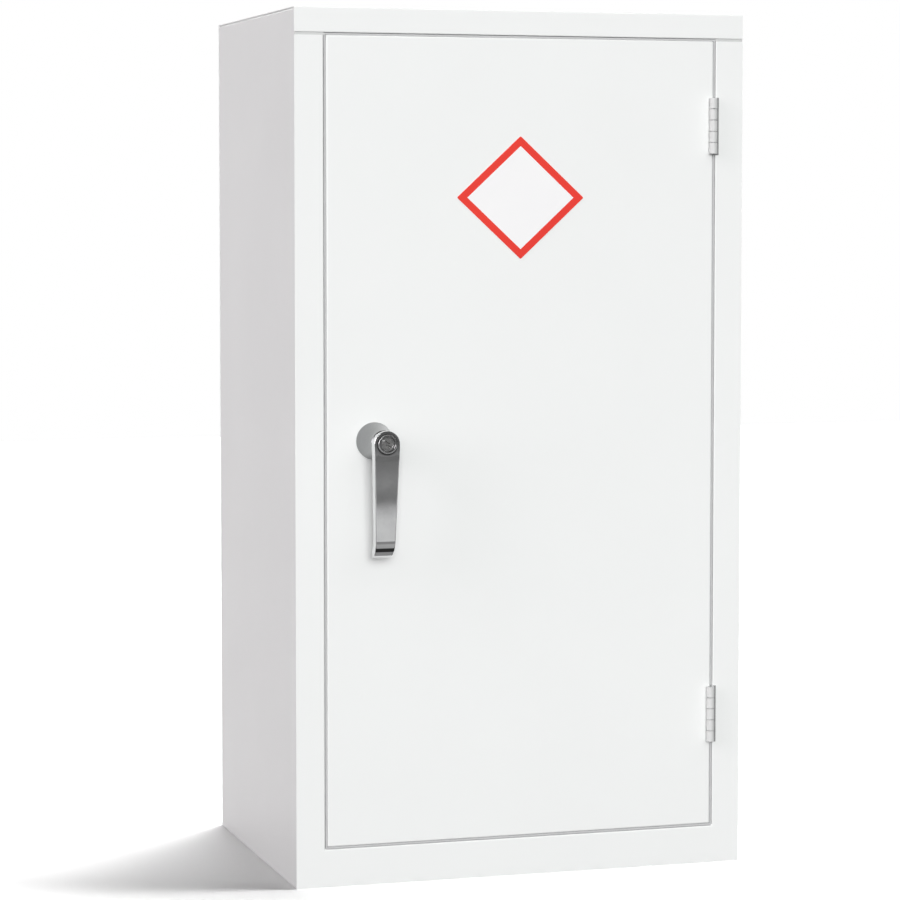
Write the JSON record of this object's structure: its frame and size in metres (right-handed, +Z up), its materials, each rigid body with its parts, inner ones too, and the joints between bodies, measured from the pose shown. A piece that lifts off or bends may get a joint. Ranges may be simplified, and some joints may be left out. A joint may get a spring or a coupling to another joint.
{
  "type": "acid storage cabinet",
  "caption": "White steel acid storage cabinet with a hinged lockable door, chrome lever handle, locking rods, a lift-out tray shelf and a liquid-tight sump.",
  "frame": {"origin": "middle of the body's footprint, on the floor", "axes": "+Z up, -Y to the front where the door is, +X to the right seen from the front, where the hinges are"},
  "size_m": [0.495, 0.4029, 0.915],
  "materials": {
    "white_powder_coat": "semi-gloss powder coat",
    "chrome": "polished",
    "zinc_plate": "bright zinc plate",
    "black_rubber": "matt"
  },
  "bodies": {
    "carcass": {"side_panel_left": "white_powder_coat", "side_panel_right": "white_powder_coat", "front_frame": "white_powder_coat", "top_panel": "white_powder_coat", "back_panel": "white_powder_coat", "sump_base": "white_powder_coat", "shelf_strip_left_front": "zinc_plate", "shelf_strip_left_back": "zinc_plate", "shelf_strip_right_front": "zinc_plate", "shelf_strip_right_back": "zinc_plate", "shelf_clip_left_front": "zinc_plate", "shelf_clip_left_back": "zinc_plate", "shelf_clip_right_front": "zinc_plate", "shelf_clip_right_back": "zinc_plate", "door_buffer_upper": "black_rubber", "door_buffer_lower": "black_rubber", "hinge_frame_leaf_upper": "white_powder_coat", "hinge_frame_leaf_lower": "white_powder_coat", "hinge_pin_upper": "zinc_plate", "hinge_pin_lower": "zinc_plate"},
    "shelf": {"tray_shelf": "white_powder_coat"},
    "door": {"door_pan": "white_powder_coat", "door_stiffener": "white_powder_coat", "hinge_door_leaf_upper": "white_powder_coat", "hinge_door_leaf_lower": "white_powder_coat", "handle_rose": "chrome", "rose_nut": "zinc_plate", "rod_guide_upper": "zinc_plate", "rod_guide_lower": "zinc_plate"},
    "handle": {"lever_handle": "chrome", "lock_barrel": "chrome", "spindle": "zinc_plate", "cam_plate": "zinc_plate", "cam_screw": "zinc_plate"},
    "key": {"key_plug": "chrome"},
    "upper_bolt": {"upper_rod": "zinc_plate"},
    "lower_bolt": {"lower_rod": "zinc_plate"}
  },
  "joints": [
    {"name": "door_swing", "type": "hinge", "parent": "carcass", "child": "door", "pos_m": [0.21225, -0.1797, 0.46435], "axis": [0, 0, 1], "range_deg": [0, 180]},
    {"name": "handle_turn", "type": "hinge", "parent": "door", "child": "handle", "pos_m": [-0.163, -0.175, 0.46675], "axis": [0, -1, 0], "range_deg": [0, 90]},
    {"name": "key_turn", "type": "hinge", "parent": "handle", "child": "key", "pos_m": [-0.163, -0.2279, 0.46675], "axis": [0, -1, 0], "range_deg": [0, 90]},
    {"name": "upper_bolt_slide", "type": "slide", "parent": "door", "child": "upper_bolt", "axis": [0, 0, 1], "range_m": [0, 0.02263]},
    {"name": "lower_bolt_slide", "type": "slide", "parent": "door", "child": "lower_bolt", "axis": [0, 0, -1], "range_m": [0, 0.02263]},
    {"name": "shelf_lift", "type": "slide", "parent": "carcass", "child": "shelf", "axis": [0, 0, 1], "range_m": [0, 0.06]}
  ],
  "couplings": [
    {"joint": "upper_bolt_slide", "follows": "handle_turn", "m_per_rad": 0.014405},
    {"joint": "lower_bolt_slide", "follows": "handle_turn", "m_per_rad": 0.014405}
  ]
}
